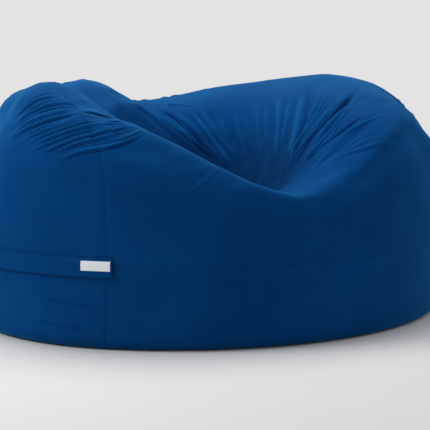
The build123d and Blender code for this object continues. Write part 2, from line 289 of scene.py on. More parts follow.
def on_picture(*pixels):
    """Points on the sack's surface under points of the picture."""
    turn = camera.matrix_world.to_3x3()
    start = camera.matrix_world.translation
    found = []
    for x, y in pixels:
        ray = turn @ Vector(((x - PICTURE / 2) / FOCAL, (PICTURE / 2 - y) / FOCAL, -1))
        hit, _, _, distance = surface.ray_cast(start, ray.normalized())
        if hit is None:
            continue
        if found and abs(distance - (found[-1] - start).length) > DEPTH_JUMP:
            break
        found.append(hit)
    return found


def on_sack(*places):
    """Points on the sack's surface nearest to places in space."""
    return [surface.find_nearest(Vector(p))[0] for p in places]


def smooth_line(points, steps=14):
    """A smooth line through points, as an array."""
    p = np.array([points[0]] + list(points) + [points[-1]])
    line = []
    for i in range(1, len(p) - 2):
        for t in np.linspace(0, 1, steps, endpoint=i == len(p) - 3):
            a = 2 * p[i]
            b = p[i + 1] - p[i - 1]
            c = 2 * p[i - 1] - 5 * p[i] + 4 * p[i + 1] - p[i + 2]
            d = 3 * p[i] - p[i - 1] - 3 * p[i + 1] + p[i + 2]
            line.append((a + b * t + c * t * t + d * t**3) / 2)
    return np.array(line)


def fold_heights(co, normals, line, height, width, lean=0.0, fade=0.3, start=0.0, end=1.0):
    """How far one fold lifts each point: a crisp ridge, or a crease where the height is negative."""
    lift = np.zeros(len(co))
    reach = FOLD_REACH * width + FOLD_MARGIN
    near = np.zeros(len(co), dtype=bool)
    for i in range(0, len(line) - 1, 6):
        stretch = line[i : i + 7]
        near |= np.all((co > stretch.min(0) - reach) & (co < stretch.max(0) + reach), axis=1)
    index = np.nonzero(near)[0]
    if not len(index):
        return lift
    away = co[index, None, :] - line[None, :, :]
    nearest = np.einsum("ijk,ijk->ij", away, away).argmin(1)
    offset = away[np.arange(len(index)), nearest]
    tangent = np.gradient(line, axis=0)[nearest]
    step = np.linalg.norm(tangent, axis=1)
    tangent /= step[:, None]
    sideways = np.cross(tangent, normals[index])
    sideways /= np.maximum(np.linalg.norm(sideways, axis=1), 1e-6)[:, None]
    ahead = np.einsum("ij,ij->i", offset, tangent) / step
    along = np.clip((nearest + ahead) / (len(line) - 1), 0, 1)
    side = np.einsum("ij,ij->i", offset, sideways)
    out = np.einsum("ij,ij->i", offset, normals[index])
    s = np.abs(side) / width
    taper = smooth_step(start, start + fade, along) * smooth_step(1 - end, 1 - end + fade, 1 - along)
    taper *= np.exp(-((out / OFF_SURFACE) ** 2))
    valley = np.where(side > 0, VALLEY_DEPTH + lean, VALLEY_DEPTH - lean)
    ridge = np.exp(-RIDGE_SHARPNESS * (np.sqrt(s * s + RIDGE_ROUNDING) - RIDGE_TOP))
    ridge -= valley * np.exp(-(((s - VALLEY_PLACE) / VALLEY_WIDTH) ** 2))
    lift[index] = height * taper * ridge
    return lift


# Broad folds that the simulation starts from: a line in the picture, a height and a half-width in millimetres
BROAD_FOLDS = (
    (((8, 140), (25, 127), (50, 116), (75, 111), (97, 113)), 8, 22),
    (((80, 112), (97, 113), (112, 116), (126, 120)), -8, 16),
    (((120, 103), (138, 110), (156, 119), (182, 138), (213, 163)), 7, 20),
    (((164, 105), (182, 119), (203, 143), (228, 168)), 7, 20),
    (((228, 98), (243, 127), (257, 172)), 6, 24),
    (((272, 89), (273, 120), (268, 175)), 7, 26),
    (((360, 90), (345, 102), (329, 118), (308, 141), (284, 178)), -9, 20),
    (((377, 91), (350, 104), (320, 137), (293, 177)), 9, 20),
    (((407, 109), (367, 122), (337, 142), (307, 173)), 9, 22),
)

# Places where the filling swells or sags: points in the picture, a height and a reach in millimetres
SWELLS = (
    (((78, 96), (86, 100), (95, 104), (103, 108), (112, 113)), -24, 80),
    (((40, 90), (52, 89), (64, 90)), 12, 90),
    (((82, 86), (90, 88)), -12, 80),
    (((2, 114), (10, 105), (18, 99)), -12, 110),
    (((116, 98), (124, 102), (132, 105)), 20, 80),
    (((418, 134), (424, 142)), 22, 80),
)

# Gathers: many folds between two lines, with how many, their height and half-width in millimetres
GATHERS = (
    (((12, 114), (34, 99), (68, 92), (98, 94), (124, 103)),
     ((8, 140), (25, 127), (50, 116), (75, 111), (97, 113)), 6, 8, 7),
    (((8, 142), (25, 129), (50, 118), (75, 113), (100, 115)),
     ((38, 160), (62, 151), (85, 143), (107, 139), (128, 133)), 8, 8, 7),
    (((96, 120), (108, 121), (120, 123), (132, 127)),
     ((104, 144), (116, 142), (130, 139), (146, 136)), 6, 6, 6),
    (((130, 106), (147, 113), (166, 123), (188, 138), (212, 158)),
     ((154, 105), (172, 116), (193, 137), (219, 163)), 6, 6, 8),
    (((161, 105), (179, 116), (201, 140), (226, 166)),
     ((232, 96), (240, 125), (252, 172)), 5, 5, 15),
    (((240, 93), (250, 125), (258, 174)),
     ((310, 82), (302, 115), (280, 178)), 5, 6, 20),
    (((322, 82), (312, 108), (294, 150), (283, 179)),
     ((354, 86), (330, 104), (305, 132), (287, 163), (280, 180)), 3, 6, 9),
    (((374, 92), (346, 108), (319, 137), (295, 167), (287, 180)),
     ((392, 100), (360, 114), (330, 136), (302, 171)), 3, 6, 8),
    (((412, 118), (375, 131), (342, 148), (308, 175)),
     ((404, 146), (372, 152), (340, 160), (306, 177)), 3, 4, 11),
)

# Single folds: a line, a height and a half-width in millimetres, and a lean
SINGLE_FOLDS = (
    (((80, 112), (97, 113), (112, 116), (126, 120)), -10, 8, 0.2),
    (((55, 163), (77, 152), (107, 147), (130, 141), (148, 137)), 7, 7, 0.2),
    (((164, 103), (178, 104), (193, 107)), -5, 7, 0.0),
    (((156, 105), (172, 116), (195, 143), (212, 160)), -8, 8, 0.0),
    (((368, 86), (350, 96), (333, 108), (315, 129), (303, 145), (289, 165), (278, 182)), 6, 6, 0.2),
    (((359, 92), (345, 103), (329, 119), (308, 142), (286, 176)), -7, 9, 0.2),
    (((403, 111), (384, 117), (366, 124), (345, 135), (320, 154), (298, 175)), 8, 8, 0.2),
    (((397, 104), (370, 116), (345, 129), (318, 150), (296, 172)), -6, 8, 0.0),
    (((245, 178), (230, 181), (213, 198)), 2.5, 10, 0.0),
    (((268, 184), (250, 189), (227, 206)), 2.5, 10, 0.0),
    (((220, 172), (206, 180), (190, 194)), 2, 10, 0.0),
    (((41, 296), (62, 303), (104, 309)), -3, 8, 0.0),
    (((30, 318), (60, 326), (106, 334)), -3, 8, 0.0),
    (((60, 285), (85, 290), (105, 292)), 2, 9, 0.0),
)

# Gathers that the picture doesn't show, by places in space
FAR_GATHERS = (
    (((0.42, -0.36, 0.78), (0.58, -0.38, 0.72), (0.72, -0.32, 0.60), (0.79, -0.22, 0.50)),
     ((0.46, 0.00, 0.82), (0.62, 0.00, 0.77), (0.75, 0.03, 0.64), (0.83, 0.07, 0.48)), 8, 6, 11),
    (((0.46, 0.04, 0.82), (0.62, 0.06, 0.76), (0.75, 0.09, 0.63), (0.82, 0.13, 0.48)),
     ((0.44, 0.38, 0.77), (0.58, 0.41, 0.70), (0.69, 0.40, 0.58), (0.74, 0.37, 0.48)), 6, 5, 11),
    (((-0.56, 0.24, 0.77), (-0.67, 0.26, 0.68), (-0.76, 0.27, 0.54)),
     ((-0.46, 0.44, 0.73), (-0.57, 0.47, 0.65), (-0.64, 0.47, 0.52)), 5, 6, 11),
    (((-0.44, 0.30, 0.78), (-0.44, 0.50, 0.72), (-0.45, 0.60, 0.62), (-0.45, 0.64, 0.46)),
     ((0.00, 0.34, 0.72), (0.02, 0.54, 0.70), (0.03, 0.69, 0.58), (0.03, 0.72, 0.42)), 9, 5, 13),
    (((0.04, 0.34, 0.72), (0.06, 0.54, 0.70), (0.08, 0.69, 0.58), (0.09, 0.72, 0.42)),
     ((0.46, 0.40, 0.76), (0.47, 0.54, 0.69), (0.49, 0.60, 0.58), (0.50, 0.62, 0.46)), 8, 5, 13),
    (((-0.34, -0.44, 0.60), (-0.24, -0.34, 0.50), (-0.12, -0.22, 0.40)),
     ((0.20, -0.46, 0.58), (0.12, -0.34, 0.49), (0.02, -0.22, 0.39)), 8, 4.5, 11),
)


def soft_unevenness(co, size, seed):
    """A gentle unevenness of about a given size, between -1 and 1."""
    chance = np.random.default_rng(seed)
    directions = chance.normal(size=(7, 3))
    directions /= np.linalg.norm(directions, axis=1)[:, None]
    directions *= 2 * math.pi / size * chance.uniform(0.7, 1.4, (7, 1))
    phases = chance.uniform(0, 2 * math.pi, 7)
    return np.sin(co @ directions.T + phases).mean(1)


def zip_share(co):
    """1 on the strip round the left end where the zip and its flap lie."""
    level = np.abs(co[:, 2] - SEAM_Z)
    return smooth_step(0.07, 0.036, level) * smooth_step(SEAM_X - 0.03, SEAM_X, -co[:, 0])


def broad_lift(co, normals):
    """The cloth's broad folds and unevenness."""
    lift = np.zeros(len(co))
    for points, height, width in BROAD_FOLDS:
        line = smooth_line(on_picture(*points))
        lift += fold_heights(co, normals, line, height * MM, width * MM)
    for points, height, reach in SWELLS:
        places = np.array(on_picture(*points))
        apart = np.min(np.linalg.norm(co[:, None, :] - places[None, :, :], axis=2), axis=1)
        lift += height * MM * np.exp(-((apart / (reach * MM)) ** 2))
    upper = smooth_step(SEAM_Z + 0.05, SEAM_Z + 0.3, co[:, 2])
    lift += soft_unevenness(co, 0.5, 3) * 4 * MM * upper
    lift += soft_unevenness(co, 0.16, 5) * 1.2 * MM * (0.4 + 0.6 * upper)
    return lift


def gather_lift(co, normals, first, last, count, height, width, chance):
    """Many folds side by side between two lines, uneven in place, length and height."""
    lift = np.zeros(len(co))
    for i in range(count):
        share = np.clip((i + chance.uniform(0.2, 0.8)) / count, 0, 1)
        drift = chance.uniform(-0.3, 0.3) / count
        across = np.clip(share + drift * np.linspace(-1, 1, len(first)), 0, 1)[:, None]
        line = np.array(on_sack(*(first * (1 - across) + last * across)))
        start = chance.uniform(0.0, 0.2)
        end = chance.uniform(0.75, 1.0)
        high = height * chance.uniform(0.6, 1.25) * MM
        wide = width * chance.uniform(0.75, 1.3) * MM
        lean = chance.uniform(-0.3, 0.3)
        lift += fold_heights(co, normals, line, high, wide, lean, 0.25, start, end)
    return lift


def crisp_lift(co, normals):
    """The fine folds and the seams."""
    lift = np.zeros(len(co))
    chance = np.random.default_rng(17)
    for first, last, count, height, width in GATHERS:
        lines = [resampled(smooth_line(on_picture(*points))) for points in (first, last)]
        lift += gather_lift(co, normals, *lines, count, height, width, chance)
    for first, last, count, height, width in FAR_GATHERS:
        lines = [resampled(smooth_line(on_sack(*points))) for points in (first, last)]
        lift += gather_lift(co, normals, *lines, count, height, width, chance)
    for points, height, width, lean in SINGLE_FOLDS:
        line = smooth_line(on_picture(*points))
        lift += fold_heights(co, normals, line, height * MM, width * MM, lean)
    pucker = 1 + 0.4 * soft_unevenness(co, 0.07, 8)
    plain = plain_places(sack.data)
    upright = np.abs(np.abs(plain[:, 0]) - SEAM_X)
    level = np.abs(plain[:, 2] - SEAM_Z)
    for distance, depth in ((upright, UPRIGHT_DEPTH), (level, LEVEL_DEPTH)):
        lift -= depth * MM * pucker * np.exp(-((distance / SEAM_WIDTH) ** 2))
        lift += ROLL_HEIGHT * MM * pucker * np.exp(-(((distance - ROLL_PLACE) / ROLL_WIDTH) ** 2))
    return lift


def resampled(line, count=44):
    """The same line with points at even steps."""
    steps = np.linalg.norm(np.diff(line, axis=0), axis=1)
    run = np.concatenate([[0], np.cumsum(steps)])
    even = np.linspace(0, run[-1], count)
    return np.stack([np.interp(even, run, line[:, k]) for k in range(3)], axis=1)


def lift_cloth(mesh, lift_of):
    """Move the surface out by a lift, less where the zip lies and at the floor."""
    co = points_of(mesh)
    normals = normals_of(mesh)
    lift = lift_of(co, normals)
    lift *= (1 - zip_share(co)) * smooth_step(0.0, 0.06, co[:, 2])
    moved = co + normals * lift[:, None]
    moved[:, 2] = np.maximum(moved[:, 2], 0)
    set_points(mesh, moved)
    return lift


# Settling: how many frames, the furthest a point moves, and how many times the movement is softened
SETTLE_FRAMES = 10
SETTLE_MOST = 0.02
SETTLE_SOFTENING = 12
HOLD_LEVELS = 20


def settle_cloth(obj):
    """Let slightly oversize cloth settle on the form, held softly to it, so that it buckles into folds."""
    co = points_of(obj.data)
    facing_up = smooth_step(0.3, 0.7, normals_of(obj.data)[:, 2])
    hold = 1 - 0.9 * facing_up * smooth_step(SEAM_Z + 0.05, SEAM_Z + 0.15, co[:, 2])
    group = obj.vertex_groups.new(name="hold")
    levels = np.round(hold * HOLD_LEVELS).astype(int)
    for level in np.unique(levels):
        group.add(np.nonzero(levels == level)[0].tolist(), level / HOLD_LEVELS, "REPLACE")
    cloth = obj.modifiers.new("settle", "CLOTH")
    rules = cloth.settings
    rules.quality = 3
    rules.mass = 0.4
    rules.tension_stiffness = 10
    rules.compression_stiffness = 10
    rules.shear_stiffness = 4
    rules.bending_stiffness = 0.25
    rules.vertex_group_mass = "hold"
    rules.pin_stiffness = 0.5
    rules.shrink_min = -0.03
    rules.effector_weights.gravity = 0
    cloth.collision_settings.use_collision = False
    cloth.point_cache.frame_start = 1
    cloth.point_cache.frame_end = SETTLE_FRAMES
    for moment in range(1, SETTLE_FRAMES + 1):
        bpy.context.scene.frame_set(moment)
    settled = points_of(evaluated_mesh(obj))
    obj.modifiers.clear()
    obj.vertex_groups.clear()
    moved = settled - co
    length = np.linalg.norm(moved, axis=1)
    moved *= (np.minimum(length, SETTLE_MOST) / np.maximum(length, 1e-9))[:, None]
    moved = smoothed(obj.data, moved, SETTLE_SOFTENING)
    moved *= ((1 - zip_share(co)) * smooth_step(0.0, 0.06, co[:, 2]))[:, None]
    set_points(obj.data, co + moved)
    bpy.context.scene.frame_set(1)


def refine(obj):
    """Divide every face once."""
    finer = obj.modifiers.new("finer", "SUBSURF")
    finer.levels = 1
    finer.render_levels = 1
    apply_modifiers(obj)


def painted_crest_light_and_seat_shade(co, normals):
    """Painted light: a painted highlight on the upward-facing crests, painted shade down in the seat."""
    crest = smooth_step(0.35, 0.85, normals[:, 2]) * smooth_step(0.62, 0.78, co[:, 2])
    inside = np.hypot((co[:, 0] + 0.03) / 0.42, (co[:, 1] + 0.12) / 0.42)
    low = smooth_step(0.72, 0.48, co[:, 2])
    seat = smooth_step(1.0, 0.55, inside) * low * smooth_step(0.1, 0.4, normals[:, 2])
    return crest - seat


# The lift at which a fold's painted ridge highlight is full, in metres, and how many times the normals that
# the painted crest highlight and seat shade follow are softened
FULL_RIDGE = 0.006
PAINTED_LIGHT_SOFTENING = 20


lift_cloth(sack.data, broad_lift)
settle_cloth(sack)
coarse = sack.data.copy()
refine(sack)
crispness = lift_cloth(sack.data, crisp_lift)
# Fold heights, which the cover's colour turns into a painted highlight on ridges and painted shade in creases
ridges = sack.data.attributes.new("fold", "FLOAT", "POINT")
ridges.data.foreach_set("value", np.clip(crispness / FULL_RIDGE, -1, 1))
# A painted highlight on the upward crests and painted shade down in the seat, for the cover's colour
brushed_grain_and_painted_light = sack.data.attributes.new("mottle_and_painted_light", "FLOAT", "POINT")
facing = smoothed(sack.data, normals_of(sack.data), PAINTED_LIGHT_SOFTENING)
brushed_grain_and_painted_light.data.foreach_set("value", painted_crest_light_and_seat_shade(points_of(sack.data), facing))
sack.data.shade_smooth()


# Panels


def face_corners(mesh):
    """Point numbers of a mesh's four-sided faces."""
    loops = np.empty(len(mesh.loops), dtype=np.int32)
    mesh.loops.foreach_get("vertex_index", loops)
    return loops.reshape(-1, 4)


def split_faces(mesh):
    """Face numbers of each panel, by the faces' places on the plain form."""
    x, y, z = plain_places(mesh)[face_corners(mesh)].mean(axis=1).T
    facing = np.empty(len(mesh.polygons) * 3)
    mesh.polygons.foreach_get("normal", facing)
    under = (z < 0.004) & (facing[2::3] < -0.9)
    left = ~under & (x < -SEAM_X)
    right = ~under & (x > SEAM_X)
    middle = ~under & ~left & ~right
    above = z > SEAM_Z
    slot = np.abs(z - SEAM_Z) < ZIP_SLOT / 2
    groups = {
        "base_panel": under,
        "cover_left_panel": left & above & ~slot,
        "band_left": left & ~above & ~slot,
        "cover_right_panel": right & above,
        "band_right": right & ~above,
        "cover_centre_panel": middle & above,
        "band_front": middle & ~above & (y < 0),
        "band_back": middle & ~above & (y >= 0),
    }
    return {name: np.nonzero(chosen)[0] for name, chosen in groups.items()}


def piece_from_faces(name, mesh, faces):
    """A new object with some of a mesh's four-sided faces and their attributes."""
    used, corners = np.unique(face_corners(mesh)[faces], return_inverse=True)
    part = bpy.data.meshes.new(name)
    part.from_pydata(points_of(mesh)[used].tolist(), [], corners.reshape(-1, 4).tolist())
    for key in ("fold", "mottle_and_painted_light"):
        values = np.empty(len(mesh.vertices), dtype=np.float32)
        mesh.attributes[key].data.foreach_get("value", values)
        part.attributes.new(key, "FLOAT", "POINT").data.foreach_set("value", values[used])
    part.shade_smooth()
    return new_object(name, part)


def thin_out(obj, share):
    """Keep a share of the faces, where the surface is plain or hidden."""
    fewer = obj.modifiers.new("fewer", "DECIMATE")
    fewer.ratio = share
    apply_modifiers(obj)


def thicken(obj, thickness):
    solid = obj.modifiers.new("cloth", "SOLIDIFY")
    solid.thickness = thickness
    solid.offset = -1
    apply_modifiers(obj)


# Finishes

# A wave texture of scale 1 has bands this far apart, in metres
BANDS_PER_SCALE = 0.314


class Value:
    """A shader socket that can be used in Python expressions."""

    def __init__(self, finish, socket):
        self.finish = finish
        self.socket = socket

    def __add__(self, other):
        return self.finish.math("ADD", self, other)

    def __mul__(self, other):
        return self.finish.math("MULTIPLY", self, other)

    def __rmul__(self, other):
        return self.finish.math("MULTIPLY", other, self)


class Finish:
    """A material built from nodes."""

    def __init__(self, name):
        self.material = bpy.data.materials.new(name)
        self.material.use_nodes = True
        self.tree = self.material.node_tree
        self.tree.nodes.clear()
        self.output = self.tree.nodes.new("ShaderNodeOutputMaterial")

    def node(self, kind, settings=None, inputs=None, output=0):
        """A node of a kind, with its settings first and then the values or links of its sockets."""
        made = self.tree.nodes.new(kind)
        for key, value in (settings or {}).items():
            setattr(made, key, value)
        for key, value in (inputs or {}).items():
            if isinstance(value, Value):
                self.tree.links.new(value.socket, made.inputs[key])
            else:
                made.inputs[key].default_value = value
        return Value(self, made.outputs[output])

    def math(self, operation, a, b):
        return self.node("ShaderNodeMath", {"operation": operation}, {0: a, 1: b})

    def place(self):
        return self.node("ShaderNodeTexCoord", output="Object")

    def noise(self, scale, detail=3.0, roughness=0.5, place=None):
        values = {"Vector": place or self.place(), "Scale": scale, "Detail": detail, "Roughness": roughness}
        return self.node("ShaderNodeTexNoise", None, values)

    def stretched(self, sizes, turn=(0, 0, 0)):
        inputs = {"Vector": self.place(), "Scale": sizes, "Rotation": turn}
        return self.node("ShaderNodeMapping", None, inputs)

    def attribute(self, name):
        return self.node("ShaderNodeAttribute", {"attribute_name": name}, output="Fac")

    def span(self, value, low, high, out_low=0.0, out_high=1.0):
        """A value taken from one range to another, and kept inside it."""
        inputs = {"Value": value, "From Min": low, "From Max": high, "To Min": out_low, "To Max": out_high}
        return self.node("ShaderNodeMapRange", None, inputs)

    def colour_mix(self, share, a, b):
        first, second = (c if isinstance(c, Value) else (*c, 1) for c in (a, b))
        inputs = {0: share, 6: first, 7: second}
        return self.node("ShaderNodeMix", {"data_type": "RGBA"}, inputs, output=2)

    def bump(self, height, strength, distance):
        inputs = {"Height": height, "Strength": strength, "Distance": distance}
        return self.node("ShaderNodeBump", None, inputs)

    def wave(self, direction, pitch):
        """Bands across one direction, as threads lie, at a pitch in metres."""
        inputs = {"Vector": self.place(), "Scale": BANDS_PER_SCALE / pitch}
        return self.node("ShaderNodeTexWave", {"bands_direction": direction}, inputs)

    def surface(self, **sockets):
        """The main shader. Words joined by underscores are the names of its sockets."""
        inputs = {key.replace("_", " "): value for key, value in sockets.items()}
        shader = self.node("ShaderNodeBsdfPrincipled", None, inputs)
        self.tree.links.new(shader.socket, self.output.inputs["Surface"])
        return self.material


def velvet(name, deep, lit):
    """Short-pile cloth: random mottle and a brushed grain, with a painted highlight on fold ridges and upward
    crests and painted shade in creases and down in the seat.
    """
    f = Finish(name)
    mottle_and_painted_light = f.noise(5.0, 4.0, 0.6)
    brushed_grain_and_painted_light = f.noise(1.0, 3.0, 0.6, f.stretched((60, 60, 14), (0.5, 0.3, 0)))
    pile = f.noise(1400.0, 2.0)
    ridges = f.attribute("fold")
    # The tone: random mottle, plus a painted highlight on fold ridges and painted shade in creases
    tone = f.span(mottle_and_painted_light + 0.35 * brushed_grain_and_painted_light, 0.35, 0.95) * 0.35 + f.span(ridges, -1.0, 1.0) * 0.45 + pile * 0.12
    # Painted highlight on the crests above 0, painted shade in the seat below 0
    lie = f.attribute("mottle_and_painted_light")
    colour = f.colour_mix(f.span(tone, 0.2, 0.75), deep, lit)
    # Painted highlight: pale blue on the upward crests
    colour = f.colour_mix(f.span(lie, 0.0, 1.0, 0.0, 0.42), colour, PAINTED_CREST_HIGHLIGHT_BLUE)
    # Painted shade: dark blue down in the seat
    colour = f.colour_mix(f.span(lie, 0.0, -1.0, 0.0, 0.75), colour, PAINTED_SHADE_BLUE)
    # Painted highlight: lighter blue along fold ridges
    colour = f.colour_mix(f.span(ridges, 0.3, 1.0, 0.0, 0.34), colour, PAINTED_RIDGE_HIGHLIGHT_BLUE)
    # Painted shade: dark blue in the creases
    colour = f.colour_mix(f.span(ridges, -0.25, -1.0, 0.0, 0.55), colour, PAINTED_SHADE_BLUE)
    rough = f.span(brushed_grain_and_painted_light, 0.3, 0.7, 0.82, 0.94)
    grain = f.bump(pile + 0.6 * brushed_grain_and_painted_light, 0.25, 0.0006)
    return f.surface(
        Base_Color=colour,
        Roughness=rough,
        Normal=grain,
        Specular_IOR_Level=0.02,
        Sheen_Weight=0.45,
        Sheen_Roughness=0.4,
        Sheen_Tint=(0.04, 0.34, 0.72, 1),
    )


def weave(name, colour, dark, pitch, rough=0.85):
    """Plain woven cloth."""
    f = Finish(name)
    threads = f.wave("Z", pitch) * f.wave("Y", pitch)
    mottle = f.noise(30.0, 3.0)
    tone = f.span(threads * 0.7 + mottle * 0.5, 0.1, 0.8)
    grain = f.bump(threads, 0.4, 0.0004)
    shade = f.colour_mix(tone, dark, colour)
    return f.surface(Base_Color=shade, Roughness=rough, Normal=grain, Specular_IOR_Level=0.12)


def lacquered_metal(name, colour, worn):
    """Satin lacquer, rubbed at random."""
    f = Finish(name)
    rub = f.span(f.noise(300.0, 3.0, 0.6), 0.6, 0.85)
    grain = f.bump(f.noise(1500.0, 2.0), 0.08, 0.0002)
    rough = f.span(f.noise(160.0), 0.3, 0.7, 0.28, 0.42)
    return f.surface(Base_Color=f.colour_mix(rub, colour, worn), Metallic=0.85, Roughness=rough, Normal=grain)


def moulded(name, colour):
    """Moulded plastic with a fine texture."""
    f = Finish(name)
    shade = f.noise(240.0, 3.0)
    grain = f.bump(f.noise(2200.0), 0.1, 0.0002)
    dark = tuple(c * 0.7 for c in colour)
    rough = f.span(shade, 0.3, 0.7, 0.38, 0.52)
    return f.surface(Base_Color=f.colour_mix(shade, dark, colour), Roughness=rough, Normal=grain)


def foam_crumb(name):
    """Shredded foam."""
    f = Finish(name)
    crumbs = f.node("ShaderNodeTexVoronoi", None, {"Vector": f.place(), "Scale": 55.0})
    cells = f.noise(900.0)
    tone = f.span(crumbs * 0.8 + cells * 0.3, 0.1, 0.8)
    grain = f.bump(crumbs * 0.8 + cells * 0.2, 0.6, 0.004)
    colour = f.colour_mix(tone, (0.74, 0.6, 0.3), (0.82, 0.75, 0.52))
    return f.surface(Base_Color=colour, Roughness=0.95, Normal=grain)


cover_cloth = velvet("blue_velvet", DEEP_BLUE, LIT_BLUE)
base_cloth = weave("base_weave", (0.014, 0.03, 0.07), (0.005, 0.012, 0.03), 0.0016)
liner_cloth = weave("liner_weave", (0.72, 0.71, 0.68), (0.5, 0.49, 0.46), 0.0012)
label_cloth = weave("label_weave", (0.9, 0.91, 0.93), (0.76, 0.78, 0.81), 0.0005, 0.6)
tape_cloth = weave("zip_tape_weave", (0.004, 0.03, 0.11), (0.002, 0.014, 0.055), 0.0012)
thread = weave("sewing_thread", (0.004, 0.05, 0.17), (0.002, 0.025, 0.09), 0.0004)
teeth_plastic = moulded("zip_teeth_plastic", (0.003, 0.026, 0.1))
zip_metal = lacquered_metal("zip_lacquer", (0.02, 0.035, 0.07), (0.16, 0.17, 0.2))
foam = foam_crumb("shredded_foam")


def dress(obj, material, body, *nodes):
    """Give a piece its material and its body, and hide the nodes that it stands for."""
    obj.data.materials.clear()
    obj.data.materials.append(material)
    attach(obj, body)
    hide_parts(*nodes)


# Cover, liner and fill


def inner_layer(name, depth):
    """The sack's surface moved inwards, as the layer below the cover."""
    mesh = coarse.copy()
    co = points_of(mesh) - normals_of(mesh) * depth
    co[:, 2] = np.maximum(co[:, 2], depth * 0.5)
    set_points(mesh, co)
    mesh.shade_smooth()
    layer = new_object(name, mesh)
    thin_out(layer, INNER_FACES)
    return layer


faces_of = split_faces(sack.data)
for node in COVER_NODES:
    panel = piece_from_faces(node.replace("panel", "cloth"), sack.data, faces_of[node])
    if node == "base_panel":
        thin_out(panel, BASE_FACES)
    thicken(panel, CLOTH)
    dress(panel, base_cloth if node == "base_panel" else cover_cloth, "sack", node)

liner = inner_layer("liner_sack", LINER_DEPTH)
dress(liner, liner_cloth, "sack", "liner_upper", "liner_band", "liner_base")
fill = inner_layer("foam_crumb_fill", FILL_DEPTH)
dress(fill, foam, "sack", "foam_fill")
bpy.data.objects.remove(sack)


# Flap over the zip, and the label

# Heights are above the level seam, in metres
FLAP_TOP = 0.028
FLAP_LOW = -0.030
FLAP_SEWN_FROM = 0.011
FLAP_SEWN_TO = 0.022
FLAP_STANDOFF = 0.0072
FLAP_SEWN_STANDOFF = 0.0006
FLAP_CLOTH = 0.0024
FLAP_OVERLAP = 0.014
FLAP_HALF_ANGLE = END_HALF_ANGLE + FLAP_OVERLAP / END_RADIUS
FLAP_STITCH_RISES = (0.0255, 0.0225, -0.0275)
LABEL_LENGTH = 0.092
LABEL_LOW = -0.0115
LABEL_HEIGHT = 0.0285
LABEL_CLOTH = 0.0008
LABEL_GAP = 0.0002
LABEL_END_MARGIN = 0.005
LABEL_STANDOFF = 0.009


def round_left_end(angle, radius, rise):
    """A place round the left end; the angle runs from the back seam to the front one."""
    turn = math.pi + angle
    return (-END_CENTRE + radius * math.cos(turn), radius * math.sin(turn), SEAM_Z + rise)


def flap_radius(angle, rise):
    """The flap's inner face: sewn flat at its top, standing off over the zip, a little wavy."""
    sewn = smooth_step(FLAP_SEWN_FROM, FLAP_SEWN_TO, np.array(rise)).item()
    wave = 0.0005 * math.sin(23 * angle + 0.6) + 0.0004 * math.sin(51 * angle)
    hanging = FLAP_STANDOFF + wave * (1 - sewn)
    return END_RADIUS + hanging * (1 - sewn) + FLAP_SEWN_STANDOFF * sewn


def strip_mesh(name, radius_at, angles, rises):
    """A strip round the left end, as rows of faces."""
    mesh = bpy.data.meshes.new(name)
    places = [round_left_end(a, radius_at(a, r), r) for a in angles for r in rises]
    n = len(rises)
    faces = []
    for i in range(len(angles) - 1):
        for j in range(n - 1):
            k = i * n + j
            faces.append((k, k + n, k + n + 1, k + 1))
    mesh.from_pydata(places, [], faces)
    mesh.shade_smooth()
    return mesh


def cloth_strip(name, radius_at, angles, rises, thickness):
    obj = new_object(name, strip_mesh(name, radius_at, angles, rises))
    solid = obj.modifiers.new("cloth", "SOLIDIFY")
    solid.thickness = thickness
    solid.offset = 1
    edge = obj.modifiers.new("edge", "BEVEL")
    edge.width = thickness * 0.35
    edge.segments = 2
    edge.limit_method = "ANGLE"
    edge.angle_limit = math.radians(50)
    apply_modifiers(obj)
    return obj


flap_angles = np.linspace(-FLAP_HALF_ANGLE, FLAP_HALF_ANGLE, 181)
flap_rises = np.concatenate([np.linspace(FLAP_LOW, 0.010, 15), np.linspace(0.0115, FLAP_TOP, 13)])
flap = cloth_strip("flap_cloth", flap_radius, flap_angles, flap_rises, FLAP_CLOTH)
dress(flap, cover_cloth, "sack", "zip_flap")
top_edge = round_left_end(0, END_RADIUS, FLAP_TOP)
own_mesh(flap)

label_end = FLAP_HALF_ANGLE - LABEL_END_MARGIN / END_RADIUS
label_angles = np.linspace(label_end - LABEL_LENGTH / (END_RADIUS + LABEL_STANDOFF), label_end, 41)
label_rises = np.linspace(LABEL_LOW, LABEL_LOW + LABEL_HEIGHT, 13)


def label_radius(angle, rise):
    return flap_radius(angle, rise) + FLAP_CLOTH + LABEL_GAP


label = cloth_strip("label_cloth", label_radius, label_angles, label_rises, LABEL_CLOTH)
dress(label, label_cloth, "sack", "label")
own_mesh(label)


# Stitches


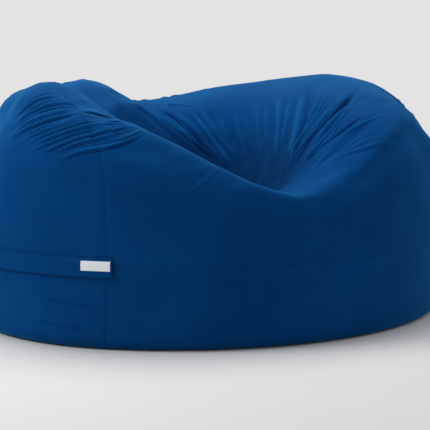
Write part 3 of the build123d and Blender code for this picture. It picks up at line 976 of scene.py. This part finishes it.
def stitch_tree():
    """A node tree that sets a row of short stitches along a curve."""
    tree = bpy.data.node_groups.new("stitch_row", "GeometryNodeTree")
    for name, way, kind in (
        ("Geometry", "INPUT", "Geometry"),
        ("Stitch pitch", "INPUT", "Float"),
        ("Stitch length", "INPUT", "Float"),
        ("Thread radius", "INPUT", "Float"),
        ("Thread", "INPUT", "Material"),
        ("Geometry", "OUTPUT", "Geometry"),
    ):
        tree.interface.new_socket(name, in_out=way, socket_type="NodeSocket" + kind)
    nodes = tree.nodes
    start = nodes.new("NodeGroupInput")
    spaced = nodes.new("GeometryNodeResampleCurve")
    spaced.mode = "LENGTH"
    shape = nodes.new("GeometryNodeMeshUVSphere")
    shape.inputs["Segments"].default_value = 8
    shape.inputs["Rings"].default_value = 6
    shape.inputs["Radius"].default_value = 1
    lengthen = nodes.new("GeometryNodeTransform")
    sizes = nodes.new("ShaderNodeCombineXYZ")
    half = nodes.new("ShaderNodeMath")
    half.operation = "MULTIPLY"
    half.inputs[1].default_value = 0.5
    points = nodes.new("GeometryNodeCurveToPoints")
    points.mode = "EVALUATED"
    placed = nodes.new("GeometryNodeInstanceOnPoints")
    real = nodes.new("GeometryNodeRealizeInstances")
    painted = nodes.new("GeometryNodeSetMaterial")
    end = nodes.new("NodeGroupOutput")
    for source, output, target, socket in (
        (start, "Geometry", spaced, "Curve"),
        (start, "Stitch pitch", spaced, "Length"),
        (spaced, "Curve", points, "Curve"),
        (points, "Points", placed, "Points"),
        (points, "Rotation", placed, "Rotation"),
        (start, "Stitch length", half, 0),
        (start, "Thread radius", sizes, "X"),
        (start, "Thread radius", sizes, "Y"),
        (half, "Value", sizes, "Z"),
        (shape, "Mesh", lengthen, "Geometry"),
        (sizes, "Vector", lengthen, "Scale"),
        (lengthen, "Geometry", placed, "Instance"),
        (placed, "Instances", real, "Geometry"),
        (real, "Geometry", painted, "Geometry"),
        (start, "Thread", painted, "Material"),
        (painted, "Geometry", end, "Geometry"),
    ):
        tree.links.new(source.outputs[output], target.inputs[socket])
    return tree


stitches = stitch_tree()


def stitch_row(name, lines, pitch, length, radius, material):
    """One piece with stitches along several lines."""
    curve = bpy.data.curves.new(name, "CURVE")
    curve.dimensions = "3D"
    for line in lines:
        spline = curve.splines.new("POLY")
        spline.points.add(len(line) - 1)
        for point, place in zip(spline.points, line):
            point.co = (*place, 1)
    source = new_object(name + "_lines", curve)
    modifier = source.modifiers.new("stitches", "NODES")
    modifier.node_group = stitches
    sockets = {s.name: s.identifier for s in stitches.interface.items_tree if s.in_out == "INPUT"}
    modifier[sockets["Stitch pitch"]] = pitch
    modifier[sockets["Stitch length"]] = length
    modifier[sockets["Thread radius"]] = radius
    modifier[sockets["Thread"]] = material
    mesh = evaluated_mesh(source)
    bpy.data.objects.remove(source)
    mesh.shade_smooth()
    return new_object(name, mesh)


def strip_line(radius_at, angles, rise, out):
    return [round_left_end(a, radius_at(a, rise) + out, rise) for a in angles]


sewn_angles = flap_angles[1:-1]
flap_rows = [strip_line(flap_radius, sewn_angles, rise, FLAP_CLOTH) for rise in FLAP_STITCH_RISES]
flap_sewing = stitch_row("flap_stitches", flap_rows, 0.0044, 0.0034, 0.00045, thread)
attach(flap_sewing, "sack")
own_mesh(flap_sewing)
white_thread = weave("label_thread", (0.6, 0.62, 0.66), (0.4, 0.42, 0.46), 0.0004)
label_ends = []
for angle in (label_angles[1], label_angles[-2]):
    label_ends.append([round_left_end(angle, label_radius(angle, r) + LABEL_CLOTH, r) for r in label_rises])
label_sewing = stitch_row("label_stitches", label_ends, 0.0028, 0.0022, 0.0003, white_thread)
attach(label_sewing, "sack")
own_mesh(label_sewing)


# Zip

ZIP_FINISHES = {
    "zip_tape_upper": tape_cloth,
    "zip_tape_lower": tape_cloth,
    "zip_teeth_upper": teeth_plastic,
    "zip_teeth_lower": teeth_plastic,
    "zip_stops": zip_metal,
    "zip_slider": zip_metal,
    "zip_pull_tab": zip_metal,
}
for node, finish in ZIP_FINISHES.items():
    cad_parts[node].data.materials.clear()
    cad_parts[node].data.materials.append(finish)


# Stage


def floor_finish():
    """Pale floor that fades into the background away from the sack."""
    f = Finish("pale_floor")
    reach = f.node("ShaderNodeVectorMath", {"operation": "LENGTH"}, {0: f.place()}, output="Value")
    fade = f.span(reach, 1.6, 3.4)
    speck = f.noise(3.0)
    colour = f.colour_mix(speck, (0.728, 0.714, 0.7), (0.743, 0.729, 0.715))
    board = f.node("ShaderNodeBsdfDiffuse", None, {"Color": colour})
    clear = f.node("ShaderNodeBsdfTransparent")
    mixed = f.node("ShaderNodeMixShader", None, {0: fade, 1: board, 2: clear})
    f.tree.links.new(mixed.socket, f.output.inputs["Surface"])
    return f.material


FLOOR_REACH = 8


def make_floor():
    mesh = bpy.data.meshes.new("floor")
    corners = [(FLOOR_REACH * x, FLOOR_REACH * y, 0) for x, y in ((-1, -1), (1, -1), (1, 1), (-1, 1))]
    mesh.from_pydata(corners, [], [(0, 1, 2, 3)])
    floor = new_object("floor", mesh)
    mesh.materials.append(floor_finish())


def make_world():
    """Pale grey to the camera, and soft even light on everything."""
    world = bpy.data.worlds.new("studio")
    bpy.context.scene.world = world
    world.use_nodes = True
    tree = world.node_tree
    tree.nodes.clear()
    rays = tree.nodes.new("ShaderNodeLightPath")
    seen = tree.nodes.new("ShaderNodeBackground")
    seen.inputs["Color"].default_value = (0.768, 0.768, 0.768, 1)
    around = tree.nodes.new("ShaderNodeBackground")
    around.inputs["Color"].default_value = (0.9, 0.95, 1.0, 1)
    around.inputs["Strength"].default_value = 0.44
    shown = tree.nodes.new("ShaderNodeMath")
    shown.operation = "MAXIMUM"
    tree.links.new(rays.outputs["Is Camera Ray"], shown.inputs[0])
    tree.links.new(rays.outputs["Is Glossy Ray"], shown.inputs[1])
    mixed = tree.nodes.new("ShaderNodeMixShader")
    tree.links.new(shown.outputs["Value"], mixed.inputs[0])
    tree.links.new(around.outputs["Background"], mixed.inputs[1])
    tree.links.new(seen.outputs["Background"], mixed.inputs[2])
    end = tree.nodes.new("ShaderNodeOutputWorld")
    tree.links.new(mixed.outputs["Shader"], end.inputs["Surface"])


def add_light(name, place, target, size, power, colour=(1, 1, 1)):
    light = bpy.data.lights.new(name, "AREA")
    light.shape = "DISK"
    light.size = size
    light.energy = power
    light.color = colour
    obj = bpy.data.objects.new(name, light)
    obj.location = place
    aim = Vector(target) - Vector(place)
    obj.rotation_euler = aim.to_track_quat("-Z", "Y").to_euler()
    bpy.context.scene.collection.objects.link(obj)


make_floor()
make_world()
add_light("overhead", (-0.2, 0.5, 3.7), (0, 0, 0.3), 2.6, 80)
add_light("left_window", (-3.2, 0.3, 2.0), (0, 0, 0.4), 1.6, 53)
add_light("right_fill", (3.2, -1.4, 2.2), (0, 0, 0.3), 2.0, 16)
bpy.context.scene.view_settings.view_transform = "Standard"
